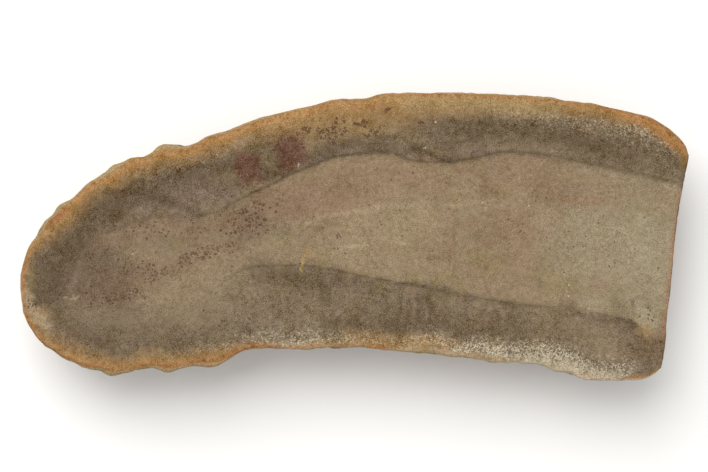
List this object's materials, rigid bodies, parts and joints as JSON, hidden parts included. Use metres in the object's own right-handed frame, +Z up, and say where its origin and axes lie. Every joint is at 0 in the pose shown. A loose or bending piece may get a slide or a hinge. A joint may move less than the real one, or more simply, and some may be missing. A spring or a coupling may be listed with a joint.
{
  "type": "tully monster fossil",
  "caption": "Half of a split, elongated ironstone concretion lying split face up, with the flattened impression of a soft-bodied sea animal on the face.",
  "frame": {"origin": "middle of the stone's footprint, on the surface that it rests on", "axes": "+X along the stone from its rounded end to its broken end, +Y across the split face, +Z up out of the split face"},
  "size_m": [0.11, 0.0474, 0.015],
  "materials": {
    "ironstone": "matt, fine-grained split face with a rusty rind and a rough crust"
  },
  "bodies": {
    "root": {"concretion_half": "ironstone"}
  },
  "joints": []
}
